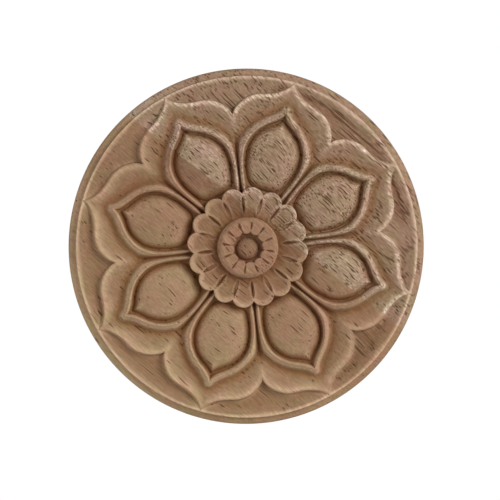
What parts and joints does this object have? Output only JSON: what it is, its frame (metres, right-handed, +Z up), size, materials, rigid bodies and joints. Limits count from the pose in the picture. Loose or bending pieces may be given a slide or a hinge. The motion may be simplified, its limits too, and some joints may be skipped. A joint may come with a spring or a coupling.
{
  "type": "carved wood rosette applique",
  "caption": "Round carved wood rosette with a flat back: lipped petals with domed eyes round a lobed ring and a scalloped boss, glued or pinned on as an ornament.",
  "frame": {"origin": "centre of the flat back", "axes": "+Y out of the flat back, towards what the rosette is fixed to; the carved face looks along -Y; +Z up as in the picture; +X to the right, seen from the front"},
  "size_m": [0.12, 0.013, 0.12],
  "materials": {
    "bare_wood": "bare, unfinished pale hardwood, carved and sanded, in two boards glued edge to edge"
  },
  "bodies": {
    "root": {"carved_rosette": "bare_wood"}
  },
  "joints": []
}
